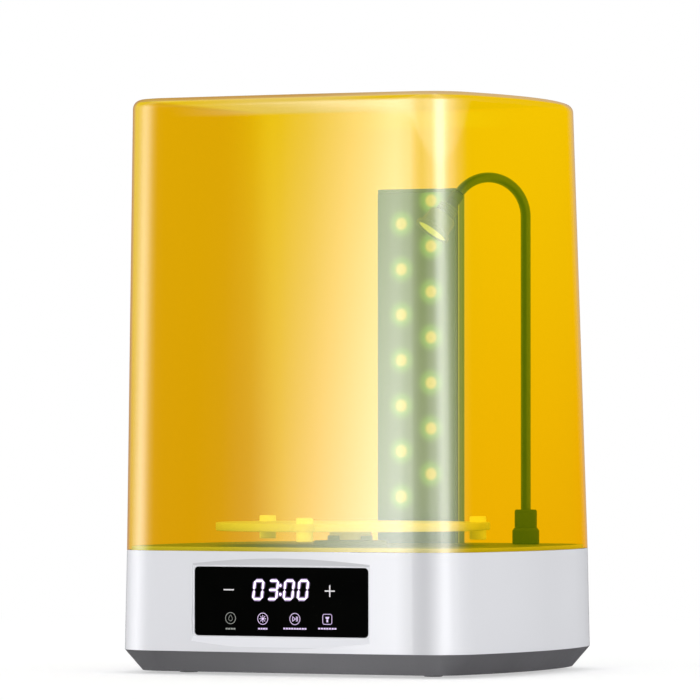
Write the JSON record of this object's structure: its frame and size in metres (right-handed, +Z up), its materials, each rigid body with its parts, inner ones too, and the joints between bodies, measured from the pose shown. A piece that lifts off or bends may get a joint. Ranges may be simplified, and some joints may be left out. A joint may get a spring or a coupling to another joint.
{
  "type": "resin wash and cure station",
  "caption": "Countertop station that washes and UV-cures resin prints: white base with touch panel, amber lift-off hood, turntable, LED tower and plug-in gooseneck lamp.",
  "frame": {"origin": "on the floor plane under the middle of the base", "axes": "+Z up, -Y is the front with the control panel, +X is the right side seen from the front"},
  "size_m": [0.324, 0.277, 0.441],
  "materials": {
    "shell_white": "satin moulded",
    "plinth_grey": "fine grain",
    "deck_dark": "satin",
    "hood_amber": "clear amber acrylic",
    "panel_black": "polished",
    "rubber_black": "matt",
    "steel": "zinc plated",
    "pcb_green": "solder mask",
    "part_black": "matt",
    "brass_part": "turned",
    "motor_steel": "plated",
    "tower_grey": "anodised",
    "tower_window": "frosted",
    "led_violet": "clear dome",
    "disc_white": "satin",
    "lamp_grey": "satin",
    "gooseneck_black": "soft sleeve",
    "lamp_window": "clear",
    "lead_black": "insulation",
    "lead_grey": "insulation",
    "magnet": "nickel plated"
  },
  "bodies": {
    "base": {"base_housing": "shell_white", "bottom_tray": "plinth_grey", "rubber_feet": "rubber_black", "tray_screws": "steel", "deck_plate": "deck_dark", "deck_screws": "steel", "control_lens": "panel_black", "control_pcb": "pcb_green", "display_module": "part_black", "panel_leds": "led_violet", "board_screws": "steel", "main_pcb": "pcb_green", "board_components": "part_black", "power_jack": "part_black", "power_jack_nut": "brass_part", "switch_frame": "part_black", "rocker_pin": "steel", "turntable_pedestal": "deck_dark", "spindle_bush": "brass_part", "shaft_seal": "rubber_black", "gear_motor": "motor_steel", "motor_bracket": "motor_steel", "motor_screws": "steel", "bracket_screws": "steel", "tower_housing": "tower_grey", "tower_window": "tower_window", "tower_cap": "tower_grey", "tower_led_board": "pcb_green", "tower_leds": "led_violet", "lamp_socket": "part_black", "lamp_socket_nut": "brass_part", "hood_sensor_board": "pcb_green", "motor_cable": "lead_black", "panel_cable": "lead_grey", "power_cable": "lead_black", "switch_cable": "lead_black", "tower_cable": "lead_grey", "lamp_cable": "lead_black"},
    "hood": {"hood_shell": "hood_amber", "hood_magnet": "magnet"},
    "drive": {"output_shaft": "steel", "drive_hub": "deck_dark", "hub_magnets": "magnet"},
    "platter": {"turntable_disc": "disc_white", "platter_neck": "disc_white", "platter_screws": "steel", "rim_posts": "disc_white"},
    "lamp_plug_body": {"lamp_plug": "lamp_grey", "lamp_plug_pin": "brass_part"},
    "lamp_arm": {"lamp_swivel_collar": "lamp_grey", "gooseneck_stem": "gooseneck_black"},
    "neck_low": {"gooseneck_lower_bend": "gooseneck_black"},
    "neck_high": {"gooseneck_upper_bend": "gooseneck_black"},
    "lamp_head": {"lamp_sleeve": "lamp_grey", "lamp_collar": "lamp_grey", "lamp_bell": "lamp_grey", "lamp_lens": "lamp_window", "lamp_led_board": "pcb_green", "lamp_led": "led_violet"},
    "rocker": {"power_rocker": "part_black"}
  },
  "joints": [
    {"name": "hood_lift", "type": "slide", "parent": "base", "child": "hood", "axis": [0, 0, 1], "range_m": [0, 0.3]},
    {"name": "turntable_spin", "type": "hinge", "parent": "base", "child": "drive", "pos_m": [0, -0.016, 0.103], "axis": [0, 0, 1], "continuous": true},
    {"name": "platter_lift", "type": "slide", "parent": "drive", "child": "platter", "axis": [0, 0, 1], "range_m": [0, 0.03]},
    {"name": "lamp_unplug", "type": "slide", "parent": "base", "child": "lamp_plug_body", "axis": [0, 0, 1], "range_m": [0, 0.02]},
    {"name": "lamp_swivel", "type": "hinge", "parent": "lamp_plug_body", "child": "lamp_arm", "pos_m": [0.1035, 0.085, 0.113], "axis": [0, 0, 1], "range_deg": [-30, 45]},
    {"name": "neck_bend_low", "type": "hinge", "parent": "lamp_arm", "child": "neck_low", "pos_m": [0.1035, 0.085, 0.325], "axis": [0.698, -0.716, 0], "range_deg": [-12, 12]},
    {"name": "neck_bend_mid", "type": "hinge", "parent": "neck_low", "child": "neck_high", "pos_m": [0.08918, 0.07104, 0.38197], "axis": [0.698, -0.716, 0], "range_deg": [-12, 12]},
    {"name": "neck_bend_top", "type": "hinge", "parent": "neck_high", "child": "lamp_head", "pos_m": [0.0643, 0.04679, 0.37161], "axis": [0.698, -0.716, 0], "range_deg": [-12, 12]},
    {"name": "power_switch", "type": "hinge", "parent": "base", "child": "rocker", "pos_m": [-0.06, 0.134, 0.047], "axis": [1, 0, 0], "range_deg": [0, 16]}
  ],
  "couplings": [
    {"joint": "neck_bend_mid", "follows": "neck_bend_low", "ratio": 1},
    {"joint": "neck_bend_top", "follows": "neck_bend_low", "ratio": 1}
  ]
}
